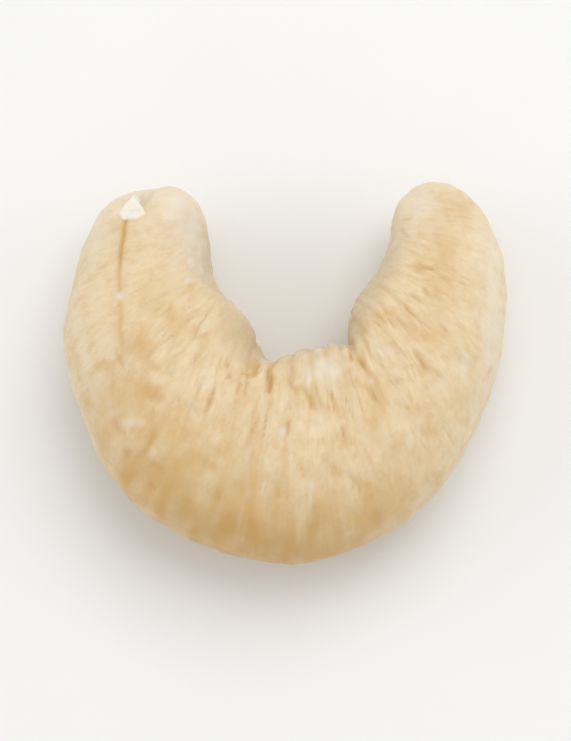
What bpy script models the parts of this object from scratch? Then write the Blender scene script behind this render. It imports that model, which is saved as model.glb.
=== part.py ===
"""A whole cashew kernel lying on its flank, as one solid.

The kernel is a single curled body with a broad belly and two arms. The germ, a small pale tooth, shows at
the end of one arm, and the split between the two seed leaves runs from it down that arm and round the back.
Radial pleats gather the skin in the crook of the curl.

The frame is in metres: +X runs across the curl, towards the plain arm, +Y from the belly to the open mouth,
and +Z up from the surface that the kernel lies on. The origin is at the middle of its footprint.

All lengths but WIDTH are in hundredths of the width. The points are scaled to metres at the very end, so
that the curl is WIDTH across.
"""

import math

import bpy
import numpy as np

# Driving dimension: across the curl, from the back of one arm to the back of the other.
WIDTH = 0.024

# Rings along the kernel, corners around each ring, and how much closer the rings lie at the germ.
RINGS = 116
AROUND = 50
GERM_CLOSER = 0.8

# The curl seen from above, from the middle of its outline, from the germ tip to the plain tip. Each station
# pairs a point of the outer edge with one of the inner edge, and gives the share that the thickness is of
# the depth there, the gap under the flank, and the bearing of the split in degrees up from the outer edge.
GERM_TIP = (-31.1, 42.2, 1.30, 17.0, 76.0)
STATIONS = (
    ((-39.5, 39.1), (-23.0, 41.2), 1.36, 6.4, 75.0),
    ((-45.9, 29.7), (-18.0, 33.0), 1.14, 2.5, 74.5),
    ((-48.8, 18.3), (-15.8, 19.8), 1.05, 0.7, 73.5),
    ((-49.7, 4.8), (-9.2, 12.4), 0.92, 0.3, 70.0),
    ((-45.2, -11.3), (-5.2, 4.0), 0.88, 0.8, 57.0),
    ((-36.1, -27.1), (-1.6, 3.2), 0.84, 0.8, 34.0),
    ((-20.2, -38.0), (2.6, 4.4), 0.82, 0.4, 14.0),
    ((-0.8, -42.7), (6.8, 4.5), 0.82, 0.0, 2.0),
    ((17.8, -38.3), (10.8, 5.0), 0.86, 0.4, -4.0),
    ((32.9, -26.9), (13.6, 6.2), 0.95, 0.8, -6.0),
    ((42.2, -12.0), (13.8, 11.8), 0.98, 0.7, -2.0),
    ((47.8, 4.9), (17.0, 18.7), 1.05, 0.3, 4.0),
    ((48.9, 23.1), (22.0, 28.0), 1.14, 1.0, 10.0),
    ((43.6, 37.7), (24.6, 38.6), 1.14, 5.3, 14.0),
)
PLAIN_TIP = (33.5, 44.3, 1.20, 15.0, 16.0)
LAST = len(STATIONS) + 1

# The power of a cross-section's superellipse: a little squarer than an ellipse, and squarest in the crook.
# The arms' inner walls lean back from their middle by this share of the depth.
BACK_POWER = 2.15
CROOK_POWER = 4.6
CROOK_MIDDLE = 8.0
CROOK_REACH = 4.7
ARM_WALL_LEAN = 0.45

# Pleats fan out from a point above the crook: bearing in degrees, and depth as a share of the deepest.
PLEAT_CENTRE = (1.9, 36.9)
PLEAT_DEPTH = 0.85
PLEAT_HALF_WIDTH_DEG = 1.15
PLEAT_REACH = 14.5
PLEATS = (
    (-37.0, 0.25), (-30.0, 0.30), (-22.0, 0.40), (-15.5, 1.00), (-8.0, 0.85), (-1.5, 0.50),
    (5.0, 0.45), (10.0, 0.50), (15.5, 0.35), (21.0, 0.75), (26.0, 0.85), (32.5, 0.60),
    (37.5, 0.70), (44.0, 0.40),
)

# The split is open beside the germ, and no more than a line from there on, on the back and in the crook.
SPLIT_DEPTH = 1.1
SPLIT_LINE_DEPTH = 0.32
SPLIT_HALF_WIDTH = 0.55
SPLIT_OPEN_TO = 3.3
SPLIT_FADE = 0.9

# The germ is a three-sided tooth with a ridge. It sits in a notch between two lobes, at its arm's end.
GERM_AT = 1.33
GERM_LENGTH = 6.4
GERM_HALF_WIDTH = 2.9
GERM_WIDEST = 0.16
GERM_HEIGHT = 3.0
NOTCH_HALF_WIDTH = 3.8
NOTCH_HALF_LENGTH = 5.5
NOTCH_TOWARDS_TIP = 2.5
NOTCH_DEPTH = 3.4

# Slow swellings of the whole surface, and the seed of their directions.
SWELL_SEED = 11
SWELL_WAVES = 14
SWELL_LENGTH = 26.0
SWELL_HEIGHT = 0.16

# The three low points are worn flat up to this height.
WORN_FLAT = 0.5

KERNEL_COLOUR = (0.76, 0.60, 0.37, 1.0)
KERNEL_ROUGHNESS = 0.5


def clear_scene():
    for thing in list(bpy.data.objects):
        bpy.data.objects.remove(thing, do_unlink=True)


def smooth_step(low, high, value):
    """0 below low, 1 above high, and a smooth rise between them."""
    part = np.clip((value - low) / (high - low), 0.0, 1.0)
    return part * part * (3.0 - 2.0 * part)


def closed_spline(points, at):
    """The periodic cubic spline through the points, which lie one step of `at` apart."""
    count = len(points)
    row = np.arange(count)
    system = np.zeros((count, count))
    system[row, row] = 4.0
    system[row, (row + 1) % count] = 1.0
    system[row, (row - 1) % count] = 1.0
    turn = 6.0 * (np.roll(points, -1, 0) - 2.0 * points + np.roll(points, 1, 0))
    bend = np.linalg.solve(system, turn)
    low = np.floor(at).astype(int) % count
    high = (low + 1) % count
    part = (at - np.floor(at))[:, None]
    rest = 1.0 - part
    curve = (rest**3 - rest) * bend[low] + (part**3 - part) * bend[high]
    return points[low] * rest + points[high] * part + curve / 6.0


def stations_at(at):
    """What holds at each place: outer edge, inner edge, share, gap, and the split's bearing in radians."""
    outer = [GERM_TIP, *((*o, *rest) for o, _, *rest in STATIONS)]
    inner = [PLAIN_TIP, *((*i, *rest) for _, i, *rest in reversed(STATIONS))]
    points = np.array(outer + inner)
    near = closed_spline(points, at)
    far = closed_spline(points, 2.0 * LAST - at)
    return near[:, :2], far[:, :2], near[:, 2], near[:, 3], np.radians(near[:, 4])


def even_rings(count):
    """Places for the rings, a tip at each end: even along the skin, but closer together at the germ."""
    fine = np.linspace(0.0, LAST, 4001)
    outer, inner, *_ = stations_at(fine)
    middle = (outer + inner) / 2.0
    depth = np.linalg.norm(outer - inner, axis=1) / 2.0
    steps = np.hypot(np.linalg.norm(np.diff(middle, axis=0), axis=1), np.diff(depth))
    steps *= 1.0 + GERM_CLOSER * np.exp(-((fine[1:] - GERM_AT) ** 2))
    run = np.concatenate([[0.0], np.cumsum(steps)])
    return np.interp(np.linspace(0.0, run[-1], count), run, fine)


def power_of(wave, power):
    """A cosine or sine raised so that a pair of them traces a superellipse."""
    return np.sign(wave) * np.abs(wave) ** (2.0 / power)


def bare_kernel(at, around):
    """The smooth body: one row of points for each place, with one bearing from the split in each column.

    Each ring is a superellipse on the line from the inner edge to the outer edge. Its power rises
    from the back to the crook, so that the crook has a flat wall between two tight corners. Where that
    wall faces sideways, on the arms, it leans back by the square of the height from its middle.
    """
    outer, inner, share, gap, split_bearing = stations_at(at)
    depth = (outer - inner) / 2.0
    width = np.linalg.norm(depth, axis=1)
    thickness = width * share
    bearing = split_bearing[:, None] + around
    crook = np.exp(-(((at - CROOK_MIDDLE) / CROOK_REACH) ** 4))[:, None]
    inward = smooth_step(-0.3, 0.9, -np.cos(bearing))
    power = BACK_POWER + (CROOK_POWER - BACK_POWER) * crook * inward
    across = power_of(np.cos(bearing), power)
    upward = power_of(np.sin(bearing), power)
    sideways = depth[:, 0] ** 2 / np.maximum(width**2, 1.0)
    lean = ARM_WALL_LEAN * sideways[:, None] * crook
    across = across * (1.0 - lean * inward * upward**2)
    flat = ((outer + inner) / 2.0)[:, None, :] + across[..., None] * depth[:, None, :]
    tall = (gap + thickness)[:, None] + upward * thickness[:, None]
    return np.concatenate([flat, tall[..., None]], axis=2)


def even_corners(at):
    """Bearings from the split, one row for each ring, so that the corners lie evenly round the ring.

    The split leaves by the first corner on the back and by the middle corner at the inner edge. The
    corners on both sides of it lie close to it.
    """
    fine = np.linspace(0.0, 2.0 * math.pi, 721)
    ring = bare_kernel(at, fine[None, :])
    steps = np.linalg.norm(np.diff(ring, axis=1), axis=2)
    run = np.concatenate([np.zeros((len(at), 1)), np.cumsum(steps, axis=1)], axis=1)
    inner_edge = math.pi - stations_at(at)[4]
    half = AROUND // 2
    bearings = np.zeros((len(at), AROUND))
    for row, lengths in enumerate(run):
        crook = np.interp(inner_edge[row], fine, lengths)
        for start, end, first in ((0.0, crook, 0), (crook, lengths[-1], half)):
            close = min(0.8 * SPLIT_HALF_WIDTH, (end - start) / half)
            places = np.linspace(start + close, end - close, half - 1)
            bearings[row, first] = np.interp(start, lengths, fine)
            bearings[row, first + 1:first + half] = np.interp(places, lengths, fine)
    return bearings


def outward(grid):
    """Unit normals of a grid whose first and last rings are points."""
    along = np.gradient(grid, axis=0)
    round_ring = np.roll(grid, -1, axis=1) - np.roll(grid, 1, axis=1)
    normal = np.cross(along, round_ring)
    normal[0] = normal[1].mean(axis=0)
    normal[-1] = normal[-2].mean(axis=0)
    return normal / np.linalg.norm(normal, axis=2, keepdims=True)


def swellings(grid):
    """Slow, seeded swellings: a sum of plane waves of one length in random directions."""
    draw = np.random.default_rng(SWELL_SEED)
    way = draw.normal(size=(SWELL_WAVES, 3))
    way *= 2.0 * math.pi / SWELL_LENGTH / np.linalg.norm(way, axis=1, keepdims=True)
    start = draw.uniform(0.0, 2.0 * math.pi, SWELL_WAVES)
    return SWELL_HEIGHT * np.cos(grid @ way.T + start).sum(axis=2) / math.sqrt(SWELL_WAVES)


def pleats(grid, at):
    """Grooves along rays from the pleat centre, deepest in the crook and gone half-way to the back."""
    inner = stations_at(at)[1][:, None, :]
    from_edge = np.linalg.norm(grid[..., :2] - inner, axis=2)
    below = PLEAT_CENTRE[1] - grid[..., 1]
    bearing = np.degrees(np.arctan2(grid[..., 0] - PLEAT_CENTRE[0], below))
    depth = np.zeros(bearing.shape)
    for middle, share in PLEATS:
        depth += share * np.exp(-(((bearing - middle) / PLEAT_HALF_WIDTH_DEG) ** 2))
    fade = np.exp(-((from_edge / PLEAT_REACH) ** 2)) * smooth_step(0.0, PLEAT_REACH, below)
    return -PLEAT_DEPTH * depth * fade


def split(grid, at):
    """The groove between the seed leaves: a narrow valley on the back and a faint one in the crook."""
    openness = 1.0 - smooth_step(SPLIT_OPEN_TO - SPLIT_FADE, SPLIT_OPEN_TO + SPLIT_FADE, at)
    back = SPLIT_LINE_DEPTH + (SPLIT_DEPTH - SPLIT_LINE_DEPTH) * openness
    back = back * smooth_step(GERM_AT, GERM_AT + 0.5, at)
    crook = SPLIT_LINE_DEPTH * smooth_step(0.4, 1.5, at)
    rise = np.zeros(grid.shape[:2])
    for corner, depth in ((0, back), (AROUND // 2, crook)):
        away = np.linalg.norm(grid - grid[:, corner, None], axis=2)
        fade = smooth_step(0.0, 1.2, LAST - at)
        rise -= (depth * fade)[:, None] * np.exp(-((away / SPLIT_HALF_WIDTH) ** 2))
    return rise


def germ(grid):
    """The tooth and its notch, on the split at the germ tip.

    The tooth widens from its point, which is towards the tip, to its foot. Its height falls off from its
    ridge to its edges and rises along the ridge to its point. The notch is an oval bell curve. Both end
    where the arm's far side begins.
    """
    around = np.array([[-0.02, 0.02]])
    tip_side, arm_side = bare_kernel(np.array([GERM_AT - 0.05, GERM_AT + 0.05]), around)
    centre = (tip_side + arm_side).mean(axis=0) / 2.0
    along = tip_side.mean(axis=0) - arm_side.mean(axis=0)
    along /= np.linalg.norm(along)
    across = tip_side[1] - tip_side[0]
    across -= along * (across @ along)
    across /= np.linalg.norm(across)
    from_centre = grid - centre
    up = from_centre @ along / GERM_LENGTH + 0.5
    side = np.abs(from_centre @ across) / GERM_HALF_WIDTH
    half = np.minimum(up / GERM_WIDEST, (1.0 - up) / (1.0 - GERM_WIDEST))
    inside = np.clip(1.0 - side / np.maximum(half, 1e-6), 0.0, 1.0)
    away = np.linalg.norm(from_centre, axis=2) / GERM_LENGTH
    tooth = GERM_HEIGHT * np.sqrt(inside) * (0.45 + 0.55 * np.clip(up, 0.0, 1.0))
    along_notch = (from_centre @ along - NOTCH_TOWARDS_TIP) / NOTCH_HALF_LENGTH
    across_notch = from_centre @ across / NOTCH_HALF_WIDTH
    notch = NOTCH_DEPTH * np.exp(-(along_notch**2) - across_notch**2)
    return tooth * (1.0 - smooth_step(1.0, 1.3, away)) - notch * (1.0 - smooth_step(1.5, 2.5, away))


def kernel_points():
    """The finished surface in metres: the bare kernel moved along its normals, then worn flat below."""
    at = even_rings(RINGS)
    grid = bare_kernel(at, even_corners(at))
    rise = swellings(grid) + pleats(grid, at) + split(grid, at) + germ(grid)
    rise[0] = rise[1].mean()
    rise[-1] = rise[-2].mean()
    grid = grid + outward(grid) * rise[..., None]
    ground = grid[..., 2].min() + WORN_FLAT
    grid[..., 2] = np.maximum(grid[..., 2], ground) - ground
    low = grid.min(axis=(0, 1))
    high = grid.max(axis=(0, 1))
    grid[..., :2] -= (low[:2] + high[:2]) / 2.0
    return grid * WIDTH / (high[0] - low[0])


def faces_between(rings, corners):
    """Quads between neighbouring rings and a fan of triangles at each tip, all facing out."""

    def corner(ring, step):
        return 1 + (ring - 1) * corners + step % corners

    last = 1 + (rings - 2) * corners
    faces = []
    for step in range(corners):
        faces.append((0, corner(1, step), corner(1, step + 1)))
        faces.append((last, corner(rings - 2, step + 1), corner(rings - 2, step)))
    for ring in range(1, rings - 2):
        for step in range(corners):
            near = (corner(ring, step), corner(ring + 1, step))
            far = (corner(ring + 1, step + 1), corner(ring, step + 1))
            faces.append(near + far)
    return faces


def kernel_material():
    material = bpy.data.materials.new("kernel")
    material.use_nodes = True
    shader = material.node_tree.nodes["Principled BSDF"]
    shader.inputs["Base Color"].default_value = KERNEL_COLOUR
    shader.inputs["Roughness"].default_value = KERNEL_ROUGHNESS
    shader.inputs["Metallic"].default_value = 0.0
    return material


def make_kernel():
    grid = kernel_points()
    rings, corners, _ = grid.shape
    points = np.concatenate([grid[:1, 0], grid[1:-1].reshape(-1, 3), grid[-1:, 0]])
    mesh = bpy.data.meshes.new("cashew_nut")
    mesh.from_pydata(points.tolist(), [], faces_between(rings, corners))
    mesh.shade_smooth()
    mesh.materials.append(kernel_material())
    kernel = bpy.data.objects.new("cashew_nut", mesh)
    bpy.context.scene.collection.objects.link(kernel)
    return kernel


clear_scene()
make_kernel()
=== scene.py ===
"""A whole cashew kernel lying on its flank on a pale floor, looked down on from the belly's side.

The kernel is one surface. Rings run from the germ tip, round the belly, to the plain tip, and every relief,
pleat, crease and speck on it is worked out by formula on the same grid of rings and corners.

All lengths on the kernel are in hundredths of its width, and the box of its solid gives them their size. A
place along it is counted in stations, from 0 at the germ tip to LAST at the plain tip. Seeded waves are given
as their seed, number and length, and a soft edge as where it starts and where it ends.
"""

import math

import bpy
import numpy as np
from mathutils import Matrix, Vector


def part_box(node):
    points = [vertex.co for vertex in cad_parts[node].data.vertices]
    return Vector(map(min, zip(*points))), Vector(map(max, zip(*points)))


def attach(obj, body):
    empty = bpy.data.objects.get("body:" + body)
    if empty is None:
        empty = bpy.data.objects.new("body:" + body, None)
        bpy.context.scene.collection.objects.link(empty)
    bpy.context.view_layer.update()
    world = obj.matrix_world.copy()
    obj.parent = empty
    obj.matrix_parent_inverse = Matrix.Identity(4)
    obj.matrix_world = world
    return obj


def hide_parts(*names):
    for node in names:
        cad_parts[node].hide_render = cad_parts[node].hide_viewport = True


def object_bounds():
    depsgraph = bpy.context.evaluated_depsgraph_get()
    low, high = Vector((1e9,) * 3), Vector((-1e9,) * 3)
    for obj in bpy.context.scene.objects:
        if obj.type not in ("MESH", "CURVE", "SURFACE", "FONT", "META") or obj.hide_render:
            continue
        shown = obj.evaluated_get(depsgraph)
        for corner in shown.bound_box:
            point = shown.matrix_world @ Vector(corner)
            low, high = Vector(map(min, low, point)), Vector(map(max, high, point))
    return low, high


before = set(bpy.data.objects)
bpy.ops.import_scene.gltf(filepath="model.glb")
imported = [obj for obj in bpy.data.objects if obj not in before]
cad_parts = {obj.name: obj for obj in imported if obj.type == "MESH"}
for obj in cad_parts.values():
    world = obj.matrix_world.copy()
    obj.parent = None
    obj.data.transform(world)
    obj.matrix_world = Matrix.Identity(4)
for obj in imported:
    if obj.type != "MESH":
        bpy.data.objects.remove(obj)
CAD_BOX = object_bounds()

HUNDREDTHS = 100.0
MM_PER_M = 1000.0

# The kernel's grid: rings along it and corners round each ring. Rings are closer at the germ, and corners are
# closer, by this share and within this many corners, at the split and at the inner edge. Both are spaced by
# lengths that are measured on finer rows of places and bearings.
RINGS = 400
AROUND = 240
GERM_CLOSER = 0.8
CORNERS_CLOSER = 0.66
CORNERS_CLOSER_REACH = 5.0
FINE_PLACES = 8001
FINE_BEARINGS = 1441

# The curl seen from above, from the middle of its outline, from the germ tip to the plain tip. Each station
# pairs a point of the outer edge with one of the inner edge, and gives the share that the thickness is of
# the depth there, the gap under the flank, and the bearing of the split in degrees up from the outer edge.
GERM_TIP = (-31.1, 42.2, 1.30, 17.0, 76.0)
STATIONS = (
    ((-39.5, 39.1), (-23.0, 41.2), 1.36, 6.4, 75.0),
    ((-45.9, 29.7), (-18.0, 33.0), 1.14, 2.5, 74.5),
    ((-48.8, 18.3), (-15.8, 19.8), 1.05, 0.7, 73.5),
    ((-49.7, 4.8), (-9.2, 12.4), 0.92, 0.3, 70.0),
    ((-45.2, -11.3), (-5.2, 4.0), 0.88, 0.8, 57.0),
    ((-36.1, -27.1), (-1.6, 3.2), 0.84, 0.8, 34.0),
    ((-20.2, -38.0), (2.6, 4.4), 0.82, 0.4, 14.0),
    ((-0.8, -42.7), (6.8, 4.5), 0.82, 0.0, 2.0),
    ((17.8, -38.3), (10.8, 5.0), 0.86, 0.4, -4.0),
    ((32.9, -26.9), (13.6, 6.2), 0.95, 0.8, -6.0),
    ((42.2, -12.0), (13.8, 11.8), 0.98, 0.7, -2.0),
    ((47.8, 4.9), (17.0, 18.7), 1.05, 0.3, 4.0),
    ((48.9, 23.1), (22.0, 28.0), 1.14, 1.0, 10.0),
    ((43.6, 37.7), (24.6, 38.6), 1.14, 5.3, 14.0),
)
PLAIN_TIP = (33.5, 44.3, 1.20, 15.0, 16.0)
LAST = len(STATIONS) + 1

# The power of a cross-section's superellipse: a little squarer than an ellipse, and squarest in the crook,
# where the arms' inner walls lean back. A section's inner side begins softly between these two values of the
# bearing's cosine, turned inwards. A width counts as no less than this where it divides something.
BACK_POWER = 2.15
CROOK_POWER = 4.6
CROOK_MIDDLE = 8.0
CROOK_REACH = 4.7
CROOK_MIDDLE_X = 5.0
ARM_WALL_LEAN = 0.45
INNER_HALF = (-0.3, 0.9)
LEAST_WIDTH = 1.0

# Where skin faces the space between the arms, and where along the kernel that space begins. Sideways of the
# crook's middle the arms' walls are smoother than the crook's: this much less pleated and folded.
FACING_CROOK = (0.40, 0.92)
ARMS_FROM = (1.0, 2.4)
SIDEWAYS = (8.0, 14.0)
LESS_PLEATED = 0.8
LESS_FOLDED = 0.6

# Pleats fan out from a point above the crook: bearing in degrees, and depth as a share of the deepest. They
# are warped by waves, by so many degrees. Folds and fibres follow the same rays: their coordinates are the
# bearing times a middle distance, and a share of the way along the ray.
PLEAT_CENTRE = (1.9, 36.9)
PLEAT_DEPTH = 1.05
PLEAT_HALF_WIDTH_DEG = 1.25
PLEAT_REACH = 14.5
PLEAT_WARP = (5, 20, 12.0)
PLEAT_WARP_DEG = 0.6
RAY_MIDDLE = 45.0
RAY_SHARE = 0.20
PLEATS = (
    (-37.0, 0.25), (-30.0, 0.30), (-22.0, 0.40), (-15.5, 1.00), (-8.0, 0.85), (-1.5, 0.50),
    (5.0, 0.40), (10.0, 0.40), (15.5, 0.35), (21.0, 0.55), (26.0, 0.45), (32.5, 0.40),
    (37.5, 0.35), (44.0, 0.25),
)

# The split is open beside the germ, and no more than a line from there on, on the back and in the crook. It
# wavers on the back. Its stain is wider than the groove, and goes on fainter past the open part.
SPLIT_DEPTH = 0.40
SPLIT_LINE_DEPTH = 0.04
SPLIT_HALF_WIDTH = 0.46
SPLIT_OPEN_TO = 3.1
SPLIT_FADE = 0.9
SPLIT_WAVER = 0.16
SPLIT_WAVER_WAVES = (41, 24, 6.0)
SPLIT_IN_CROOK_FROM = (0.4, 1.5)
SPLIT_OFF_PLAIN_TIP = (0.0, 1.2)
STAIN_WIDER = 1.75
STAIN_FAINTER = 0.60
STAIN_ENDS = (4.0, 4.9)

# The germ is a three-sided tooth in an oval notch at the end of its arm. Its corners run round it from its
# point, towards the tip, in its own plane, which is found from four points of the bare kernel this close to
# its middle. Its height stays between two limits, its colour has a soft edge, and the notch ends softly.
GERM_AT = 1.33
GERM_CORNERS = ((-1.3, 6.8), (-3.0, -3.9), (-1.4, -6.0), (1.8, -5.8), (3.9, -4.2))
GERM_SLOPE = 2.8
GERM_HEIGHT = 3.0
GERM_RISE = 0.80
GERM_HEIGHTS = (0.5, 7.0)
GERM_REACH = 8.0
GERM_EDGE = (0.0, 0.8)
GERM_AXIS_AT = 0.05
GERM_AXIS_BEARING = 0.02
NOTCH_HALF_WIDTH = 3.8
NOTCH_HALF_LENGTH = 5.5
NOTCH_TOWARDS_TIP = 2.5
NOTCH_DEPTH = 3.4
NOTCH_ENDS = (9.6, 16.0)

# Past the germ, the split begins over the first of these stretches and stands open from the second on.
SPLIT_STARTS = (GERM_AT, GERM_AT + 0.5)
SPLIT_OPENS = (GERM_AT + 0.2, GERM_AT + 0.6)

# Each single wave has the length given, divided by something between these.
WAVE_SPREAD = (0.7, 1.4)

# The wide relief: seed, number of waves, length and height of each layer.
SWELLS = (
    (11, 14, 26.0, 0.16),
    (23, 30, 11.0, 0.10),
    (31, 40, 5.5, 0.05),
    (37, 50, 2.6, 0.03),
)

# The skin's folds along the rays: seed, number of waves, their length, depth, and how far they reach from a
# line that lies this far out from the inner edge. They are strongest there and never quite gone, are broken
# up by waves, and are weaker at the inner edge and at both tips.
FOLDS = (
    (7, 40, 4.6, 0.38, 13.0),
    (13, 50, 2.6, 0.22, 22.0),
    (19, 60, 1.6, 0.11, 44.0),
)
FOLD_MIDDLE = 9.0
FOLD_HALF_WIDTH = 0.36
FOLD_LEAST = 0.28
FOLD_AT_EDGE = 0.25
FOLD_OFF_EDGE = (1.0, 9.0)
FOLD_AT_BREAK = 0.3
FOLD_BREAKS = (9, 24, 7.0)
FOLD_BREAK_EDGE = (-0.8, 1.0)
FOLD_AT_TIP = 0.25
OFF_GERM_TIP = (1.5, 5.0)
OFF_PLAIN_TIP = (0.5, 3.5)

# The three low points are worn flat up to this height.
WORN_FLAT = 0.5

# The camera: a long lens far off, so that the kernel is hardly drawn in perspective.
CAMERA_ELEVATION = 80.0
CAMERA_LENS = 250.0
CAMERA_SENSOR = 36.0
CAMERA_CLIP = (0.01, 10.0)
KERNEL_SHARE_OF_FRAME = 0.78
FRAME_WIDTH_TO_HEIGHT = 571.0 / 741.0
WIDTHS_TO_EYE = CAMERA_LENS / CAMERA_SENSOR / KERNEL_SHARE_OF_FRAME / FRAME_WIDTH_TO_HEIGHT

# Creases that lie on the flank as the camera sees it: start, bend, end, depth and half-width. Each is drawn
# by so many points of its arc, reaches so many half-widths, and tapers almost to nothing at both ends. It
# lies only on skin that faces up by more than this, and only this share of its depth is cut.
CREASE_POINTS = 21
CREASE_REACH = 4.0
CREASE_TAPER = 0.98
CREASE_FACING = 0.1
CREASE_CUT = 0.65
CREASES = (
    ((-6.3, 3.0), (-6.8, 0.8), (-8.2, -1.8), 0.90, 0.75),
    ((-3.4, -0.2), (-3.5, -2.6), (-4.0, -5.0), 1.10, 0.55),
    ((0.9, 2.6), (0.9, 0.6), (1.5, -2.0), 0.32, 0.60),
    ((5.3, -5.2), (5.8, -7.8), (7.1, -9.4), 0.36, 0.72),
    ((0.8, -11.0), (0.2, -13.0), (0.4, -14.8), 0.54, 0.60),
    ((12.8, -12.0), (13.4, -14.8), (13.0, -17.7), 0.36, 0.66),
    ((14.4, 5.6), (14.5, 3.8), (14.8, 1.8), 0.60, 0.55),
    ((16.9, 5.4), (17.2, 3.2), (18.2, 1.0), 0.45, 0.60),
    ((20.0, 13.2), (21.4, 12.0), (22.6, 10.6), 0.50, 0.60),
    ((24.4, 12.0), (27.9, 10.6), (30.3, 7.0), 0.42, 0.75),
    ((23.0, 6.8), (24.6, 5.4), (25.9, 3.4), 0.34, 0.75),
    ((28.5, 4.8), (30.3, 3.0), (31.1, 0.6), 0.30, 0.70),
    ((17.0, 1.6), (20.4, -1.6), (22.6, -7.0), 0.24, 0.80),
    ((16.8, -3.0), (19.0, -5.0), (20.4, -7.2), 0.32, 0.60),
    ((30.6, 2.8), (31.5, 1.0), (31.4, -0.4), 0.18, 0.60),
    ((27.6, 23.6), (31.0, 23.0), (34.2, 23.4), 0.40, 0.43),
    ((30.6, 19.0), (31.5, 17.8), (32.7, 16.4), 0.43, 0.60),
    ((25.7, 32.2), (26.5, 31.0), (27.8, 29.7), 0.36, 0.54),
    ((-9.8, -2.6), (-11.0, -3.8), (-11.4, -5.4), 0.32, 0.54),
    ((-5.6, -6.8), (-6.6, -13.6), (-9.8, -18.5), 0.32, 0.60),
    ((-15.8, -2.2), (-16.4, -6.0), (-18.6, -10.2), 0.43, 0.60),
    ((-20.4, -2.0), (-18.8, -4.6), (-21.8, -9.0), 0.29, 0.60),
    ((-29.7, -13.0), (-30.9, -17.5), (-34.5, -20.9), 0.60, 0.95),
    ((-40.1, -11.2), (-37.9, -12.2), (-36.7, -14.8), 0.48, 0.90),
    ((-35.9, -17.5), (-36.3, -18.9), (-35.9, -20.1), 0.48, 0.80),
    ((-31.1, -20.9), (-29.3, -21.5), (-27.5, -23.9), 0.45, 0.90),
    ((-30.8, -25.1), (-30.5, -26.1), (-29.5, -27.4), 0.60, 0.70),
    ((-15.4, -26.9), (-15.2, -28.5), (-15.1, -29.9), 0.32, 0.48),
    ((-38.7, 5.8), (-38.1, 2.6), (-36.7, 0.2), 0.29, 0.48),
    ((-31.2, 34.8), (-27.6, 33.6), (-25.8, 29.6), 0.20, 1.20),
    ((-36.8, 34.6), (-39.4, 33.2), (-41.4, 29.4), 0.20, 1.10),
)

# Patches show on skin that faces up, and the edges of scuffs and blotches are uneven.
PATCH_FACING = (0.0, 0.3)
UNEVEN_SHARE = 0.22
UNEVEN_WAVES = (17, 30, 4.0)

# Pale scuffs and flecks on the flank as the camera sees it: place, half-length across and up, strength. The
# long one down the right rim is painted sheen.
SCUFFS_AND_RIM_SHEEN = (
    ((9.2, 0.6), (3.0, 2.8), 0.80),
    ((5.2, -2.0), (0.6, 2.4), 0.8),
    ((-1.0, -13.6), (1.1, 1.4), 0.9),
    ((40.5, 0.4), (1.0, 1.6), 0.7),
    ((34.7, -3.6), (0.8, 0.7), 0.4),
    ((21.7, 4.9), (1.6, 1.2), 0.5),
    ((-17.8, -3.2), (1.8, 1.6), 0.55),
    ((-20.8, -8.8), (1.3, 2.0), 0.35),
    ((-35.1, -11.8), (2.0, 1.0), 0.60),
    ((-30.0, -18.4), (0.9, 1.3), 0.35),
    ((0.7, 0.6), (0.5, 2.6), 0.40),
    ((-5.4, 1.0), (0.7, 2.2), 0.5),
    ((1.3, -21.0), (0.5, 6.5), 0.42),
    ((5.4, -28.5), (0.5, 5.0), 0.42),
    ((-8.8, -24.0), (0.5, 4.6), 0.26),
    ((-24.6, 37.0), (5.4, 4.6), 0.85),
    ((-21.4, 31.6), (3.6, 7.6), 0.75),
    ((-42.0, 35.0), (3.4, 5.0), 0.6),
    # A painted highlight down the right rim.
    ((47.0, 12.0), (2.6, 20.0), 0.6),
    ((30.0, 38.0), (5.0, 5.0), 0.6),
)

# The white fleck that bridges the split, in the same terms.
FLECK = ((-37.5, 16.9), (0.9, 1.0), 1.0)

# Warm blotches, in the same terms.
BLOTCHES = (
    ((-31.1, -5.2), (3.8, 3.0), 0.75),
    ((-32.8, 5.6), (3.0, 2.2), 0.60),
    ((-37.0, -6.0), (6.0, 7.0), 0.40),
    ((-23.0, -21.2), (9.0, 5.6), 0.70),
    ((-29.5, -24.0), (6.0, 4.6), 0.80),
    ((40.0, 36.5), (3.4, 3.0), 0.50),
    ((35.4, 26.0), (3.4, 11.0), 0.40),
    ((33.0, 8.0), (3.0, 6.0), 0.30),
    ((27.9, -22.5), (9.0, 6.0), 0.20),
    ((-24.4, 10.4), (2.2, 2.2), 0.45),
    ((30.8, 23.0), (2.2, 1.0), 0.55),
    ((36.6, 21.2), (2.2, 2.2), 0.40),
    ((-27.0, 19.0), (6.0, 9.0), 0.22),
    ((-27.0, -13.0), (11.0, 8.0), 0.45),
    ((19.8, -9.0), (3.0, 6.0), 0.25),
)

# Low rounded lobes beside the germ, in the same terms, with their height.
LOBES = (
    ((-26.4, 36.4), (4.6, 4.2), 0.7),
    ((-41.4, 35.2), (3.6, 4.6), 0.5),
)

# The belly turns golden with painted warm shade from the first to the second of these heights, as the camera
# sees it, and later towards the plain arm. The edge wanders by waves, finer waves streak the gold between two
# limits, and the colour takes this share of it.
GOLDEN_FROM = -10.0
GOLDEN_TO = -46.0
GOLDEN_SLANT = 0.20
GOLDEN_WANDER = 4.0
GOLDEN_WANDER_WAVES = (43, 30, 5.0)
GOLDEN_STREAK = 0.16
GOLDEN_STREAK_WAVES = (53, 50, 2.4)
GOLDEN_STREAK_LIMITS = (0.6, 1.2)
GOLDEN_SHARE = 0.85

# Where along the kernel both ends are pale with painted sheen, and how pale.
GERM_END = (0.5, 2.8)
GERM_END_SHEEN = 0.55
PLAIN_END = (0.3, 2.2)
PLAIN_END_SHEEN = 0.25
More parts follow.
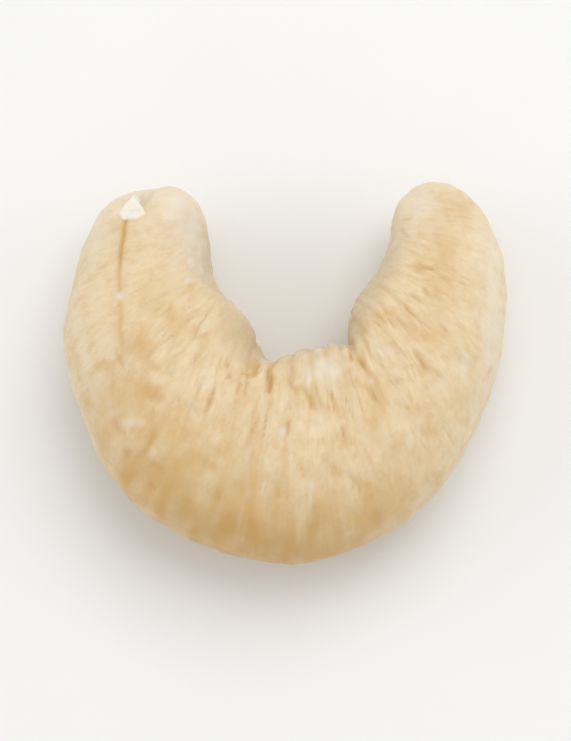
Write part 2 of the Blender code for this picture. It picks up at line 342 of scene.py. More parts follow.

# The crook's edge takes painted shade like the arms' inner walls, the belly's rim is darker with painted
# shade, and faint stripes run down the belly, as the camera sees it.
CROOK_EDGE_SHADE_REACH = 8.0
CROOK_EDGE_SHADE_MOST = 0.65
RIM_SHADE = (-35.0, -45.0)
STRIPES_MIDDLE = 2.0
STRIPES_HALF_WIDTH = 22.0
STRIPES_FROM = (6.0, -8.0)

# How much a pleat, a fold and a crease darken the groove that they make: painted shade in the grooves.
PLEAT_DARKENS = 0.80
FOLD_DARKENS = 1.1
CREASE_DARKENS = 1.25


def smooth_step(low, high, value):
    """0 below low, 1 above high, and a smooth rise between them: 3t squared less 2t cubed."""
    part = np.clip((value - low) / (high - low), 0.0, 1.0)
    return part * part * (3.0 - 2.0 * part)


def at_least(least, share):
    """A share from 0 to 1 squeezed into the range from least to 1: least plus the rest times the share."""
    return least + (1.0 - least) * share


def closed_spline(points, at):
    """The periodic cubic spline through the points, which lie one step of `at` apart.

    The second derivatives m solve m[i-1] + 4 m[i] + m[i+1] = 6 (p[i-1] - 2 p[i] + p[i+1]), and between two
    points the curve is their straight mix plus a cubic term in each end's m.
    """
    count = len(points)
    row = np.arange(count)
    system = np.zeros((count, count))
    system[row, row] = 4.0
    system[row, (row + 1) % count] = 1.0
    system[row, (row - 1) % count] = 1.0
    turn = 6.0 * (np.roll(points, -1, 0) - 2.0 * points + np.roll(points, 1, 0))
    bend = np.linalg.solve(system, turn)
    low = np.floor(at).astype(int) % count
    high = (low + 1) % count
    part = (at - np.floor(at))[:, None]
    rest = 1.0 - part
    curve = (rest**3 - rest) * bend[low] + (part**3 - part) * bend[high]
    return points[low] * rest + points[high] * part + curve / 6.0


def stations_at(at):
    """What holds at each place: outer edge, inner edge, share, gap, and the split's bearing in radians."""
    outer = [GERM_TIP, *((*o, *rest) for o, _, *rest in STATIONS)]
    inner = [PLAIN_TIP, *((*i, *rest) for _, i, *rest in reversed(STATIONS))]
    points = np.array(outer + inner)
    near = closed_spline(points, at)
    far = closed_spline(points, 2.0 * LAST - at)
    return near[:, :2], far[:, :2], near[:, 2], near[:, 3], np.radians(near[:, 4])


def even_rings(count):
    """Places for the rings, even along the skin but closer at the germ."""
    fine = np.linspace(0.0, LAST, FINE_PLACES)
    outer, inner, *_ = stations_at(fine)
    middle = (outer + inner) / 2.0
    depth = np.linalg.norm(outer - inner, axis=1) / 2.0
    steps = np.hypot(np.linalg.norm(np.diff(middle, axis=0), axis=1), np.diff(depth))
    steps *= 1.0 + GERM_CLOSER * np.exp(-((fine[1:] - GERM_AT) ** 2))
    run = np.concatenate([[0.0], np.cumsum(steps)])
    return np.interp(np.linspace(0.0, run[-1], count), run, fine)


def power_of(wave, power):
    """A cosine or sine raised so that a pair of them traces a superellipse: its 2/power-th power."""
    return np.sign(wave) * np.abs(wave) ** (2.0 / power)


def bare_kernel(at, around):
    """The smooth body: one row of points for each place, with one bearing from the split in each column.

    A ring's point lies on the line from the inner edge to the outer edge by the bearing's cosine, and above
    or below it by its sine, both raised as in a superellipse. The power rises from the back to the crook, so
    that the crook has a flat wall between two tight corners. Where that wall faces sideways, on the arms, it
    leans back by the square of the height from its middle.
    """
    outer, inner, share, gap, split_bearing = stations_at(at)
    depth = (outer - inner) / 2.0
    width = np.linalg.norm(depth, axis=1)
    thickness = width * share
    bearing = split_bearing[:, None] + around
    crook = np.exp(-(((at - CROOK_MIDDLE) / CROOK_REACH) ** 4))[:, None]
    inward = smooth_step(*INNER_HALF, -np.cos(bearing))
    power = BACK_POWER + (CROOK_POWER - BACK_POWER) * crook * inward
    across = power_of(np.cos(bearing), power)
    upward = power_of(np.sin(bearing), power)
    sideways = depth[:, 0] ** 2 / np.maximum(width, LEAST_WIDTH) ** 2
    lean = ARM_WALL_LEAN * sideways[:, None] * crook
    across = across * (1.0 - lean * inward * upward**2)
    flat = ((outer + inner) / 2.0)[:, None, :] + across[..., None] * depth[:, None, :]
    tall = (gap + thickness)[:, None] + upward * thickness[:, None]
    return np.concatenate([flat, tall[..., None]], axis=2)


def even_corners(at):
    """Bearings from the split, one row for each ring, so that the corners lie evenly round the ring.

    The split leaves by the first corner on the back and by the middle corner at the inner edge. Steps
    between corners shrink to a third towards both, by a bell curve of the corners counted from them.
    """
    fine = np.linspace(0.0, 2.0 * math.pi, FINE_BEARINGS)
    ring = bare_kernel(at, fine[None, :])
    steps = np.linalg.norm(np.diff(ring, axis=1), axis=2)
    run = np.concatenate([np.zeros((len(at), 1)), np.cumsum(steps, axis=1)], axis=1)
    inner_edge = math.pi - stations_at(at)[4]
    half = AROUND // 2
    step = np.arange(half) + 0.5
    from_back = np.exp(-((step / CORNERS_CLOSER_REACH) ** 2))
    from_edge = np.exp(-(((half - step) / CORNERS_CLOSER_REACH) ** 2))
    sizes = 1.0 - CORNERS_CLOSER * from_back - CORNERS_CLOSER * from_edge
    shares = np.concatenate([[0.0], np.cumsum(sizes)[:-1]]) / sizes.sum()
    bearings = np.zeros((len(at), AROUND))
    for row, lengths in enumerate(run):
        crook = np.interp(inner_edge[row], fine, lengths)
        bearings[row, :half] = np.interp(shares * crook, lengths, fine)
        bearings[row, half:] = np.interp(crook + shares * (lengths[-1] - crook), lengths, fine)
    return bearings


def outward(grid):
    """Unit normals of a grid whose first and last rings are points: the cross product of its two slopes."""
    along = np.gradient(grid, axis=0)
    round_ring = np.roll(grid, -1, axis=1) - np.roll(grid, 1, axis=1)
    normal = np.cross(along, round_ring)
    normal[0] = normal[1].mean(axis=0)
    normal[-1] = normal[-2].mean(axis=0)
    return normal / np.linalg.norm(normal, axis=2, keepdims=True)


def waves(points, seed, count, length):
    """Seeded noise of unit spread: a sum of cosines in random directions, of lengths near the one given."""
    draw = np.random.default_rng(seed)
    way = draw.normal(size=(count, points.shape[-1]))
    way *= 2.0 * math.pi / length / np.linalg.norm(way, axis=1, keepdims=True)
    way *= draw.uniform(*WAVE_SPREAD, (count, 1))
    start = draw.uniform(0.0, 2.0 * math.pi, count)
    return np.cos(points @ way.T + start).sum(axis=-1) / math.sqrt(count / 2.0)


def as_seen(grid):
    """Where each point shows to the camera, in hundredths of the kernel's width from its middle.

    Across by x, and up by y times the sine of the camera's elevation plus height times its cosine, both
    larger as the point is nearer to the eye than the kernel's middle is.
    """
    low = grid.min(axis=(0, 1))
    high = grid.max(axis=(0, 1))
    place = (grid - (low + high) / 2.0) * HUNDREDTHS / (high[0] - low[0])
    lean = math.radians(CAMERA_ELEVATION)
    up = place[..., 1] * math.sin(lean) + place[..., 2] * math.cos(lean)
    nearer = place[..., 2] * math.sin(lean) - place[..., 1] * math.cos(lean)
    larger = 1.0 / (1.0 - nearer / (HUNDREDTHS * WIDTHS_TO_EYE))
    return np.stack([place[..., 0], up], axis=-1) * larger[..., None]


def along_rays(grid):
    """Coordinates for folds and fibres that fan out from the pleat centre.

    The first runs across the rays: the bearing times a middle distance. The others run along a ray and up
    the sides, and are short, so that whatever is drawn by them is long that way.
    """
    across = grid[..., 0] - PLEAT_CENTRE[0]
    below = PLEAT_CENTRE[1] - grid[..., 1]
    bearing = np.arctan2(across, below)
    distance = np.hypot(across, below)
    return np.stack([RAY_MIDDLE * bearing, RAY_SHARE * distance, RAY_SHARE * grid[..., 2]], axis=-1)


def pleats(grid, at):
    """Grooves along rays from the pleat centre, as bell curves of the bearing, gone half-way to the back.

    The bearing is warped by waves. The distance from the inner edge is given back too.
    """
    inner = stations_at(at)[1][:, None, :]
    from_edge = np.linalg.norm(grid[..., :2] - inner, axis=2)
    below = PLEAT_CENTRE[1] - grid[..., 1]
    bearing = np.degrees(np.arctan2(grid[..., 0] - PLEAT_CENTRE[0], below))
    bearing = bearing + PLEAT_WARP_DEG * waves(grid, *PLEAT_WARP)
    depth = np.zeros(bearing.shape)
    for middle, share in PLEATS:
        depth += share * np.exp(-(((bearing - middle) / PLEAT_HALF_WIDTH_DEG) ** 2))
    fade = np.exp(-((from_edge / PLEAT_REACH) ** 2)) * smooth_step(0.0, PLEAT_REACH, below)
    return depth * fade, from_edge


def folds(streak, from_edge, strength):
    """Sharp valleys between round ridges: bell curves of a stretched noise's distance from zero.

    Each layer fades by a bell curve of the distance from its middle line, and all fade at the inner edge.
    """
    depth = np.zeros(from_edge.shape)
    for seed, count, size, deep, reach in FOLDS:
        valley = np.exp(-((waves(streak, seed, count, size) / FOLD_HALF_WIDTH) ** 2))
        near = at_least(FOLD_LEAST, np.exp(-(((from_edge - FOLD_MIDDLE) / reach) ** 2)))
        depth += deep * valley * near
    return depth * strength * at_least(FOLD_AT_EDGE, smooth_step(*FOLD_OFF_EDGE, from_edge))


def split(grid, at):
    """The groove between the seed leaves: a bell curve of the distance from its line, on back and in crook.

    The line on the back wavers, and its stain goes on, fainter, past the part where it stands open.
    """
    openness = 1.0 - smooth_step(SPLIT_OPEN_TO - SPLIT_FADE, SPLIT_OPEN_TO + SPLIT_FADE, at)
    opens = smooth_step(*SPLIT_OPENS, at)
    openness = openness * opens
    back = SPLIT_LINE_DEPTH + (SPLIT_DEPTH - SPLIT_LINE_DEPTH) * openness
    back = back * smooth_step(*SPLIT_STARTS, at)
    crook = SPLIT_LINE_DEPTH * smooth_step(*SPLIT_IN_CROOK_FROM, at)
    fade = smooth_step(*SPLIT_OFF_PLAIN_TIP, LAST - at)
    half = AROUND // 2
    side = np.where(np.arange(AROUND) < half, 1.0, -1.0)
    waver = SPLIT_WAVER * waves(grid[:, 0], *SPLIT_WAVER_WAVES)[:, None]
    from_back = side * np.linalg.norm(grid - grid[:, 0, None], axis=2) - waver
    from_crook = np.linalg.norm(grid - grid[:, half, None], axis=2)
    depth = (back * fade)[:, None] * np.exp(-((from_back / SPLIT_HALF_WIDTH) ** 2))
    depth += (crook * fade)[:, None] * np.exp(-((from_crook / SPLIT_HALF_WIDTH) ** 2))
    fainter = STAIN_FAINTER * (1.0 - smooth_step(*STAIN_ENDS, at)) * opens
    stain = np.exp(-((from_back / (STAIN_WIDER * SPLIT_HALF_WIDTH)) ** 2))
    return depth, np.maximum(openness, fainter)[:, None] * stain


def germ(grid):
    """The tooth, its notch and where it is.

    The tooth is a hip roof over its outline: as high as its slope times the distance to the nearest side,
    rounded over at a height that rises towards its point. The notch is an oval bell curve that ends where the
    arm's far side begins.
    """
    around = np.array([[-GERM_AXIS_BEARING, GERM_AXIS_BEARING]])
    beside = np.array([GERM_AT - GERM_AXIS_AT, GERM_AT + GERM_AXIS_AT])
    tip_side, arm_side = bare_kernel(beside, around)
    centre = (tip_side + arm_side).mean(axis=0) / 2.0
    along = tip_side.mean(axis=0) - arm_side.mean(axis=0)
    along /= np.linalg.norm(along)
    across = tip_side[0] - tip_side[1]
    across -= along * (across @ along)
    across /= np.linalg.norm(across)
    if across[0] < 0.0:
        across = -across
    from_centre = grid - centre
    flat = np.stack([from_centre @ across, from_centre @ along], axis=-1)
    corners = np.array(GERM_CORNERS)
    inside = np.full(grid.shape[:2], np.inf)
    for start, end in zip(corners, np.roll(corners, -1, axis=0)):
        side = (end - start) / np.linalg.norm(end - start)
        inside = np.minimum(inside, (flat - start) @ np.array([-side[1], side[0]]))
    away = np.linalg.norm(from_centre, axis=2)
    inside = np.where(away < GERM_REACH, np.maximum(inside, 0.0), 0.0)
    lift = np.clip(GERM_HEIGHT + GERM_RISE * flat[..., 1], *GERM_HEIGHTS)
    tooth = lift * np.tanh(GERM_SLOPE * inside / lift)
    along_notch = (flat[..., 1] - NOTCH_TOWARDS_TIP) / NOTCH_HALF_LENGTH
    across_notch = flat[..., 0] / NOTCH_HALF_WIDTH
    notch = NOTCH_DEPTH * np.exp(-(along_notch**2) - across_notch**2)
    notch = notch * (1.0 - smooth_step(*NOTCH_ENDS, away))
    return tooth - notch, smooth_step(*GERM_EDGE, inside)


def crease_depths(seen, facing):
    """Short creases on the flank: a bell curve of the distance from an arc, tapered to both its ends.

    The arc is the quadratic curve from start to end that its bend pulls aside, and the taper a half-circle.
    """
    depth = np.zeros(seen.shape[:2])
    share = np.linspace(0.0, 1.0, CREASE_POINTS)[:, None]
    taper = np.sqrt(1.0 - (2.0 * share[:, 0] - 1.0) ** 2 * CREASE_TAPER)
    for start, bend, end, deep, half_width in CREASES:
        corners = np.array([start, bend, end])
        arc = (1 - share) ** 2 * corners[0] + 2 * share * (1 - share) * corners[1] + share**2 * corners[2]
        low = corners.min(axis=0) - CREASE_REACH * half_width
        high = corners.max(axis=0) + CREASE_REACH * half_width
        near = ((seen > low) & (seen < high)).all(axis=-1) & (facing > CREASE_FACING)
        away = np.linalg.norm(seen[near][:, None, :] - arc[None, :, :], axis=-1)
        nearest = away.argmin(axis=1)
        bell = np.exp(-((away.min(axis=1) / half_width) ** 2)) * taper[nearest]
        depth[near] += deep * bell
    return depth


def patches(seen, facing, spots, uneven):
    """Soft oval spots: the highest of the bell curves of the distances from their middles."""
    amount = np.zeros(seen.shape[:2])
    for place, half_sizes, strength in spots:
        away = np.linalg.norm((seen - np.array(place)) / np.array(half_sizes), axis=-1) * uneven
        amount = np.maximum(amount, strength * np.exp(-(away**2)))
    return amount * smooth_step(*PATCH_FACING, facing)


def facing_crook(grid, normal, at):
    """How squarely the skin faces the space between the arms: the normal's part towards the inner side.

    It takes a soft step of that part, and fades out at both tips.
    """
    outer, inner, *_ = stations_at(at)
    way = (inner - outer) / np.maximum(np.linalg.norm(inner - outer, axis=1), LEAST_WIDTH)[:, None]
    squarely = (normal[..., :2] * way[:, None, :]).sum(axis=2)
    arms = smooth_step(*ARMS_FROM, at) * smooth_step(*ARMS_FROM, LAST - at)
    return smooth_step(*FACING_CROOK, squarely) * arms[:, None]


def into_box(grid):
    """The grid in metres, stretched along each axis into the box of the solid that it stands for."""
    low = grid.min(axis=(0, 1))
    high = grid.max(axis=(0, 1))
    box_low, box_high = np.array(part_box("cashew_nut"))
    return box_low + (grid - low) * (box_high - box_low) / (high - low)


# The golden belly is painted warm shade, deeper down the belly as the camera sees it.
def golden_belly_shade(seen, streak):
    """How golden the skin is: a soft step down the belly, slanted and wandering, times one plus waves."""
    wander = GOLDEN_WANDER * waves(streak, *GOLDEN_WANDER_WAVES)
    height = seen[..., 1] + GOLDEN_SLANT * seen[..., 0] + wander
    golden = smooth_step(GOLDEN_FROM, GOLDEN_TO, height)
    streaked = 1.0 + GOLDEN_STREAK * waves(streak, *GOLDEN_STREAK_WAVES)
    return GOLDEN_SHARE * (golden * np.clip(streaked, *GOLDEN_STREAK_LIMITS))


def kernel_surface():
    """The kernel's points in metres, the amounts that its material reads, and its streaks' coordinates.

    Each point of the bare kernel moves along its normal by the sum of the swellings, lobes, pleats, folds,
    creases, split and germ. The underside is then cut off level at the worn height. The grooves' amount,
    which is painted shade, is a sum of shares of pleats, folds and creases, and the other amounts are made of
    soft steps and bell curves, multiplied, or the higher one where two lie over each other. The rim, the
    crook's walls and edge and the golden belly are painted shade as well, and the pale ends and right rim
    painted sheen.
    """
    at = even_rings(RINGS)
    around = even_corners(at)
    grid = bare_kernel(at, around)
    normal = outward(grid)
    streak = along_rays(grid)
    seen = as_seen(grid)
    facing = normal[..., 2]
    uneven = 1.0 + UNEVEN_SHARE * waves(grid, *UNEVEN_WAVES)

    relief = sum(height * waves(grid, seed, count, size) for seed, count, size, height in SWELLS)
    relief = relief + patches(seen, facing, LOBES, 1.0)
    pleat, from_edge = pleats(grid, at)
    inner_wall = facing_crook(grid, normal, at)
    sideways = smooth_step(*SIDEWAYS, np.abs(grid[..., 0] - CROOK_MIDDLE_X))
    pleat = pleat * (1.0 - LESS_PLEATED * inner_wall * sideways)
    unbroken = at_least(FOLD_AT_BREAK, smooth_step(*FOLD_BREAK_EDGE, waves(grid, *FOLD_BREAKS)))
    off_tips = smooth_step(*OFF_GERM_TIP, at) * smooth_step(*OFF_PLAIN_TIP, LAST - at)
    off_tips = at_least(FOLD_AT_TIP, off_tips)[:, None]
    off_wall = 1.0 - LESS_FOLDED * inner_wall * sideways
    fold = folds(streak, from_edge, unbroken * off_tips * off_wall)
    crease = crease_depths(seen, facing)
    gap, stain = split(grid, at)
    tooth, tooth_place = germ(grid)
    relief = relief - PLEAT_DEPTH * pleat - fold - CREASE_CUT * crease - gap + tooth
    for end, beside in ((0, 1), (-1, -2)):
        relief[end] = relief[beside].mean()
    grid = grid + normal * relief[..., None]
    ground = grid[..., 2].min() + WORN_FLAT
    grid[..., 2] = np.maximum(grid[..., 2], ground) - ground

    # Painted sheen at both ends.
    germ_end_sheen = GERM_END_SHEEN * (1.0 - smooth_step(*GERM_END, at))
    plain_end_sheen = PLAIN_END_SHEEN * (1.0 - smooth_step(*PLAIN_END, LAST - at))
    fleck = patches(seen, facing, (FLECK,), 1.0)
    scuff_and_rim_sheen = np.maximum(patches(seen, facing, SCUFFS_AND_RIM_SHEEN, uneven), fleck)
    # Painted shade along the crook's edge.
    crook_edge_shade = np.exp(-((from_edge / CROOK_EDGE_SHADE_REACH) ** 2)) * (1.0 - sideways)
    stripes = np.exp(-(((seen[..., 0] - STRIPES_MIDDLE) / STRIPES_HALF_WIDTH) ** 2))
    groove_shade = PLEAT_DARKENS * pleat + FOLD_DARKENS * fold + CREASE_DARKENS * crease
    amounts = {
        # The grooves darken with painted shade, by their depth.
        "groove_shade": np.clip(groove_shade, 0.0, 1.0),
        "stain": np.clip(stain * (1.0 - fleck), 0.0, 1.0),
        "germ": tooth_place,
        # Pale skin: real scuffs and flecks, with painted sheen at both ends and down the right rim.
        "scuffs_and_sheen": np.clip(np.maximum(scuff_and_rim_sheen, (germ_end_sheen + plain_end_sheen)[:, None]), 0.0, 1.0),
        # Warm skin: real blotches, with painted warm shade down the belly.
        "blotches_and_warm_shade": np.maximum(golden_belly_shade(seen, streak), patches(seen, facing, BLOTCHES, uneven)),
        # Painted shade on the arms' inner walls and along the crook's edge.
        "inner": np.maximum(inner_wall, CROOK_EDGE_SHADE_MOST * crook_edge_shade),
        # Painted shade along the belly's bottom edge.
        "rim_shade": smooth_step(*RIM_SHADE, seen[..., 1]),
        "belly": stripes * smooth_step(*STRIPES_FROM, seen[..., 1]),
    }
    return into_box(grid), amounts, streak


def grid_faces(rings, corners):
    """Quads between neighbouring rings, then a fan of triangles at each tip, all facing out."""
    ring = np.arange(rings - 3)[:, None]
    step = np.arange(corners)[None, :]
    here = 1 + ring * corners + step
    after = 1 + ring * corners + (step + 1) % corners
    quads = np.stack([here, here + corners, after + corners, after], axis=-1).reshape(-1, 4)
    last = 1 + (rings - 2) * corners
    first_ring = 1 + np.arange(corners)
    last_ring = last - corners + np.arange(corners)
    first_fan = np.stack([np.zeros(corners, int), first_ring, np.roll(first_ring, -1)], axis=-1)
    last_fan = np.stack([np.full(corners, last), np.roll(last_ring, -1), last_ring], axis=-1)
    return quads.tolist() + first_fan.tolist() + last_fan.tolist()


def by_vertex(values):
    """A grid of values as one value for each vertex: a single one for each tip, and one for each corner."""
    inner = values[1:-1].reshape(-1, *values.shape[2:])
    return np.concatenate([values[:1, 0], inner, values[-1:, 0]])


def make_kernel():
    """The kernel's mesh as an object, with each amount and the streaks' coordinates as attributes."""
    grid, amounts, streak = kernel_surface()
    mesh = bpy.data.meshes.new("kernel")
    mesh.from_pydata(by_vertex(grid).tolist(), [], grid_faces(RINGS, AROUND))
    mesh.shade_smooth()
    for name, values in amounts.items():
        layer = mesh.attributes.new(name, "FLOAT", "POINT")
        layer.data.foreach_set("value", by_vertex(values).astype(np.float32))
    layer = mesh.attributes.new("streak", "FLOAT_VECTOR", "POINT")
    layer.data.foreach_set("vector", by_vertex(streak).astype(np.float32).ravel())
    kernel = bpy.data.objects.new("kernel", mesh)
    bpy.context.scene.collection.objects.link(kernel)
    return kernel


# Colours of the kernel's skin, flesh and stains, and of the painted shade and sheen on it.
CREAM = (0.765, 0.615, 0.385, 1.0)
GOLD = (0.640, 0.388, 0.118, 1.0)
AMBER = (0.640, 0.430, 0.190, 1.0)
IVORY = (0.825, 0.705, 0.510, 1.0)
CHALK = (0.815, 0.745, 0.645, 1.0)
TAN = (0.610, 0.360, 0.120, 1.0)
ORANGE_TAN = (0.650, 0.400, 0.150, 1.0)
SHADE_DUN = (0.520, 0.420, 0.290, 1.0)
GERM_WHITE = (0.840, 0.795, 0.710, 1.0)

# Noises in millimetres: scale, detail and roughness. Noises that follow the streaks have a stretch first.
NOISES = {
    "wide": (0.33, 3.0, 0.55),
    "middle": (0.9, 4.0, 0.55),
    "fine": (4.0, 3.0, 0.6),
}
STREAK_NOISES = {
    "fibre": ((0.75, 1.7, 1.7), 0.60, 4.0, 0.62),
    "thread": ((1.0, 1.0, 1.0), 1.7, 3.0, 0.6),
    "stripe": ((1.0, 0.30, 0.30), 1.0, 2.0, 0.5),
}

# Mottling, in the order in which it is laid on: its noise, the values between which it begins to show and
# shows fully, how much that is, and its colour. The first group lies under the golden belly, the second over
# it, and the stripes on the belly alone.
UNDER_MOTTLES = (
    ("wide", 0.40, 0.70, 0.55, IVORY),
    ("middle", 0.46, 0.78, 0.42, GOLD),
    ("fibre", 0.50, 0.32, 0.42, IVORY),
    ("thread", 0.46, 0.32, 0.18, IVORY),
    ("fine", 0.58, 0.76, 0.32, IVORY),
)
OVER_MOTTLES = (
    ("fibre", 0.50, 0.70, 0.32, AMBER),
    ("thread", 0.54, 0.70, 0.20, AMBER),
)
BELLY_STRIPES = (
    ("stripe", 0.50, 0.70, 0.20, IVORY),
    ("stripe", 0.50, 0.30, 0.20, AMBER),
)

# What lies over the mottling: the amount that it follows, its share and its colour. The rim, the inner walls
# and the grooves are painted shade, the pale skin is scuffs with painted sheen, and the split's stain is the
# skin's own colour.
STAINS_AND_PAINTED_LIGHT = (
    ("rim_shade", 0.45, TAN),
    ("inner", 0.50, SHADE_DUN),
    ("groove_shade", 0.82, TAN),
    ("scuffs_and_sheen", 0.85, CHALK),
    ("stain", 0.90, ORANGE_TAN),
)

# The finest grain is a bump of the fibres plus shares of two more noises, with a depth in metres. The
# roughness goes from the third to the fourth number as the middle noise goes from the first to the second.
GRAIN = (("fine", 0.5), ("thread", 0.5))
GRAIN_STRENGTH = 0.36
GRAIN_DEPTH = 0.0001
ROUGHNESS = (0.3, 0.7, 0.50, 0.62)

# Light goes a little way into the waxy flesh, by a scale in metres, and the skin has a faint sheen.
WAXY_FLESH = {
    "Subsurface Weight": 0.50,
    "Subsurface Radius": (1.0, 0.62, 0.34),
    "Subsurface Scale": 0.0007,
    "Specular IOR Level": 0.42,
    "Sheen Weight": 0.08,
    "Sheen Roughness": 0.5,
}


class Nodes:
    """Adds shader nodes to one material, and links what it is given."""

    def __init__(self, material):
        material.use_nodes = True
        self.tree = material.node_tree
        self.shader = self.tree.nodes["Principled BSDF"]

    def add(self, kind, inputs, **settings):
        """A new node with its settings, and each input fed."""
        node = self.tree.nodes.new(kind)
        for name, value in settings.items():
            setattr(node, name, value)
        for socket, value in inputs.items():
            self.feed(node.inputs[socket], value)
        return node

    def feed(self, socket, value):
        """Links another node's output to the socket, or sets the value on it."""
        if isinstance(value, bpy.types.NodeSocket):
            self.tree.links.new(value, socket)
        else:
            socket.default_value = value

    def amount(self, name):
        """One of the kernel's amounts, read from its attribute."""
        return self.add("ShaderNodeAttribute", {}, attribute_name=name).outputs["Fac"]

    def noise(self, vector, scale, detail, roughness):
        """Cloudy noise between 0 and 1 at the vector times the scale."""
        inputs = {"Vector": vector, "Scale": scale, "Detail": detail, "Roughness": roughness}
        return self.add("ShaderNodeTexNoise", inputs).outputs["Fac"]

    def stretched(self, vector, stretch):
        """The vector times a stretch for each axis."""
        return self.add("ShaderNodeMapping", {"Vector": vector, "Scale": stretch}).outputs["Vector"]

    def remap(self, value, low, high, to_low, to_high):
        """A smooth step from to_low to to_high as the value goes from low to high."""
        inputs = {"Value": value, "From Min": low, "From Max": high, "To Min": to_low, "To Max": to_high}
        return self.add("ShaderNodeMapRange", inputs, interpolation_type="SMOOTHSTEP").outputs["Result"]

    def maths(self, operation, first, second):
        """The sum or product of two values."""
        return self.add("ShaderNodeMath", {0: first, 1: second}, operation=operation).outputs["Value"]

    def mix(self, amount, first, second):
        """The first colour at amount 0, the second at 1, and their straight mix between."""
        inputs = {"Factor": amount, "A": first, "B": second}
        node = self.add("ShaderNodeMix", {}, data_type="RGBA")
        for socket in node.inputs:
            if socket.name in inputs and socket.enabled:
                self.feed(socket, inputs[socket.name])
        return next(socket for socket in node.outputs if socket.enabled)


def kernel_material():
    """Pale waxy flesh: cream with ivory and golden mottling, tan grooves, chalky scuffs and a white germ.

    Each layer is mixed over the one before, by a smooth step of a noise, by an amount, or by their product.
    The order is mottling, the golden belly's painted warm shade, amber streaks, the belly's stripes, its
    rim's painted shade, the painted shade of the crook's walls and of the grooves, pale skin with painted
    sheen, the split's stain and the germ.
    """
    material = bpy.data.materials.new("kernel")
    nodes = Nodes(material)
    place = nodes.add("ShaderNodeTexCoord", {}).outputs["Object"]
    in_mm = nodes.stretched(place, (MM_PER_M, MM_PER_M, MM_PER_M))
    streak = nodes.add("ShaderNodeAttribute", {}, attribute_name="streak").outputs["Vector"]
    noises = {name: nodes.noise(in_mm, *kind) for name, kind in NOISES.items()}
    for name, (stretch, *kind) in STREAK_NOISES.items():
        noises[name] = nodes.noise(nodes.stretched(streak, stretch), *kind)

    colour = CREAM
    for name, starts, ends, share, tint in UNDER_MOTTLES:
        colour = nodes.mix(nodes.remap(noises[name], starts, ends, 0.0, share), colour, tint)
    colour = nodes.mix(nodes.amount("blotches_and_warm_shade"), colour, GOLD)
    for name, starts, ends, share, tint in OVER_MOTTLES:
        colour = nodes.mix(nodes.remap(noises[name], starts, ends, 0.0, share), colour, tint)
    belly = nodes.amount("belly")
    for name, starts, ends, share, tint in BELLY_STRIPES:
        stripe = nodes.remap(noises[name], starts, ends, 0.0, share)
        colour = nodes.mix(nodes.maths("MULTIPLY", belly, stripe), colour, tint)
    for name, share, tint in STAINS_AND_PAINTED_LIGHT:
        colour = nodes.mix(nodes.maths("MULTIPLY", nodes.amount(name), share), colour, tint)
    colour = nodes.mix(nodes.amount("germ"), colour, GERM_WHITE)

    grain = noises["fibre"]
    for name, share in GRAIN:
        grain = nodes.maths("ADD", grain, nodes.maths("MULTIPLY", noises[name], share))
    settings = {"Height": grain, "Strength": GRAIN_STRENGTH, "Distance": GRAIN_DEPTH}
    bump = nodes.add("ShaderNodeBump", settings)
    inputs = nodes.shader.inputs
    nodes.feed(inputs["Base Color"], colour)
    nodes.feed(inputs["Roughness"], nodes.remap(noises["middle"], *ROUGHNESS))
    nodes.feed(inputs["Normal"], bump.outputs["Normal"])
    for name, value in WAXY_FLESH.items():
        inputs[name].default_value = value
    return material


# The floor under the kernel: its size, the scale, detail and roughness of its noise, and its two whites.
FLOOR_SIZE = 1.6
FLOOR_NOISE = (60.0, 2.0, 0.55)
FLOOR_ROUGHNESS = 0.9
FLOOR_SPECULAR = 0.15
FLOOR_DARK = (0.86, 0.86, 0.86, 1.0)
FLOOR_PALE = (0.90, 0.90, 0.90, 1.0)


def floor_material():
    """Matt white board with a trace of mottling: the two whites mixed by a noise."""
    material = bpy.data.materials.new("floor")
    nodes = Nodes(material)
    place = nodes.add("ShaderNodeTexCoord", {}).outputs["Object"]
    mottle = nodes.noise(place, *FLOOR_NOISE)
    nodes.feed(nodes.shader.inputs["Base Color"], nodes.mix(mottle, FLOOR_DARK, FLOOR_PALE))
    nodes.shader.inputs["Roughness"].default_value = FLOOR_ROUGHNESS
    nodes.shader.inputs["Specular IOR Level"].default_value = FLOOR_SPECULAR
    return material


def make_floor():
    """A flat square at height zero."""
    mesh = bpy.data.meshes.new("floor")
    half = FLOOR_SIZE / 2.0
    corners = [(-half, -half, 0.0), (half, -half, 0.0), (half, half, 0.0), (-half, half, 0.0)]
    mesh.from_pydata(corners, [], [(0, 1, 2, 3)])
    mesh.materials.append(floor_material())
    floor = bpy.data.objects.new("floor", mesh)
    bpy.context.scene.collection.objects.link(floor)


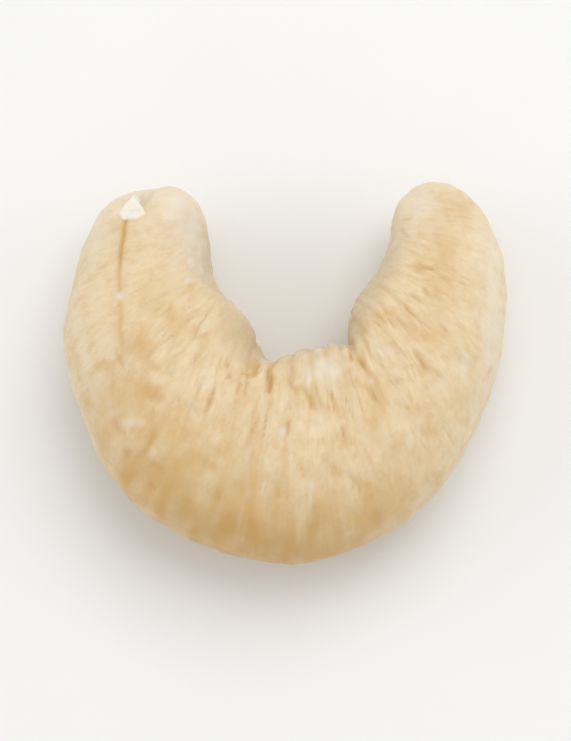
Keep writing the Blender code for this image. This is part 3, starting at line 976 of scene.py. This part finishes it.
# Soft lights: place, size, power and colour.
LIGHTS = (
    ("key", (0.08, 0.17, 0.38), 0.30, 0.68, (1.0, 0.99, 0.97)),
    ("left", (-0.36, 0.02, 0.20), 0.30, 0.30, (1.0, 1.0, 1.0)),
    ("right", (0.36, 0.02, 0.20), 0.30, 0.22, (1.0, 1.0, 1.0)),
)
SKY_STRENGTH = 0.64
SKY_WHITE = (1.0, 1.0, 1.0, 1.0)


def turned_to(place, target):
    """The turn that points a camera or a light, by its own minus z, from its place at the target."""
    return (Vector(target) - Vector(place)).to_track_quat("-Z", "Y").to_euler()


def make_camera():
    """The camera on a slanted line from the box's middle, so many widths away, looking at that middle."""
    low, high = CAD_BOX
    target = (Vector(low) + Vector(high)) / 2.0
    distance = WIDTHS_TO_EYE * (high[0] - low[0])
    lean = math.radians(CAMERA_ELEVATION)
    data = bpy.data.cameras.new("camera")
    data.lens = CAMERA_LENS
    data.sensor_width = CAMERA_SENSOR
    data.clip_start, data.clip_end = CAMERA_CLIP
    camera = bpy.data.objects.new("camera", data)
    camera.location = target + distance * Vector((0.0, -math.cos(lean), math.sin(lean)))
    camera.rotation_euler = turned_to(camera.location, target)
    bpy.context.scene.collection.objects.link(camera)
    bpy.context.scene.camera = camera


def make_lights():
    """Square soft lights that face the box's middle, and an even white sky."""
    low, high = CAD_BOX
    target = (Vector(low) + Vector(high)) / 2.0
    for name, place, size, power, colour in LIGHTS:
        data = bpy.data.lights.new(name, "AREA")
        data.size = size
        data.energy = power
        data.color = colour
        light = bpy.data.objects.new(name, data)
        light.location = place
        light.rotation_euler = turned_to(place, target)
        bpy.context.scene.collection.objects.link(light)
    world = bpy.data.worlds.new("sky")
    world.use_nodes = True
    sky = world.node_tree.nodes["Background"]
    sky.inputs["Color"].default_value = SKY_WHITE
    sky.inputs["Strength"].default_value = SKY_STRENGTH
    bpy.context.scene.world = world
    bpy.context.scene.view_settings.view_transform = "Standard"


make_camera()
make_lights()
make_floor()
kernel = make_kernel()
kernel.data.materials.append(kernel_material())
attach(kernel, "root")
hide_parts("cashew_nut")
